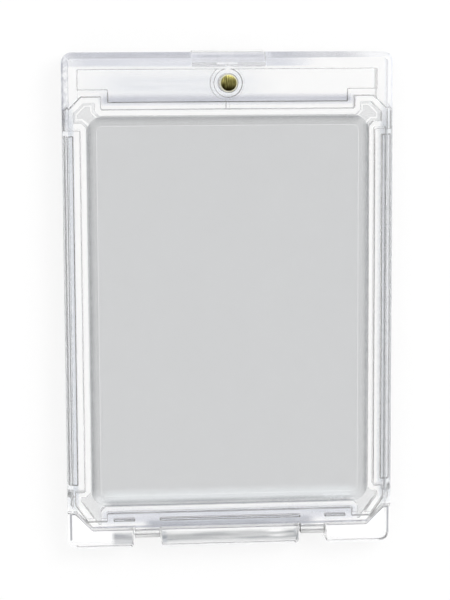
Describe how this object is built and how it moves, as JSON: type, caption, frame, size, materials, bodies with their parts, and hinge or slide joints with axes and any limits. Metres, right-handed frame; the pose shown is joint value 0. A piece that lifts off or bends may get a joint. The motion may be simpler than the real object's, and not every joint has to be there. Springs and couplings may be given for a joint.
{
  "type": "trading card display case",
  "caption": "Clear moulded display case for a trading card: a back tray and a hooked front half that opens on a hinge bar and is held shut by magnets.",
  "frame": {"origin": "middle of the back face of the closed case, thumb lip included", "axes": "+Z out of the front window, +Y towards the magnet end, +X to the right seen from the front; the hinge bar lies along the -Y edge"},
  "size_m": [0.0762, 0.116, 0.008],
  "materials": {
    "clear_plastic": "clear injection-moulded polystyrene, polished tool",
    "gold_plate": "gold-plated sintered magnet, bright"
  },
  "bodies": {
    "back": {"back_half": "clear_plastic", "back_magnet": "gold_plate"},
    "front": {"front_half": "clear_plastic", "front_magnet": "gold_plate"}
  },
  "joints": [
    {"name": "front_hinge", "type": "hinge", "parent": "back", "child": "front", "pos_m": [0, -0.05405, 0.006], "axis": [1, 0, 0], "range_deg": [0, 100]}
  ]
}
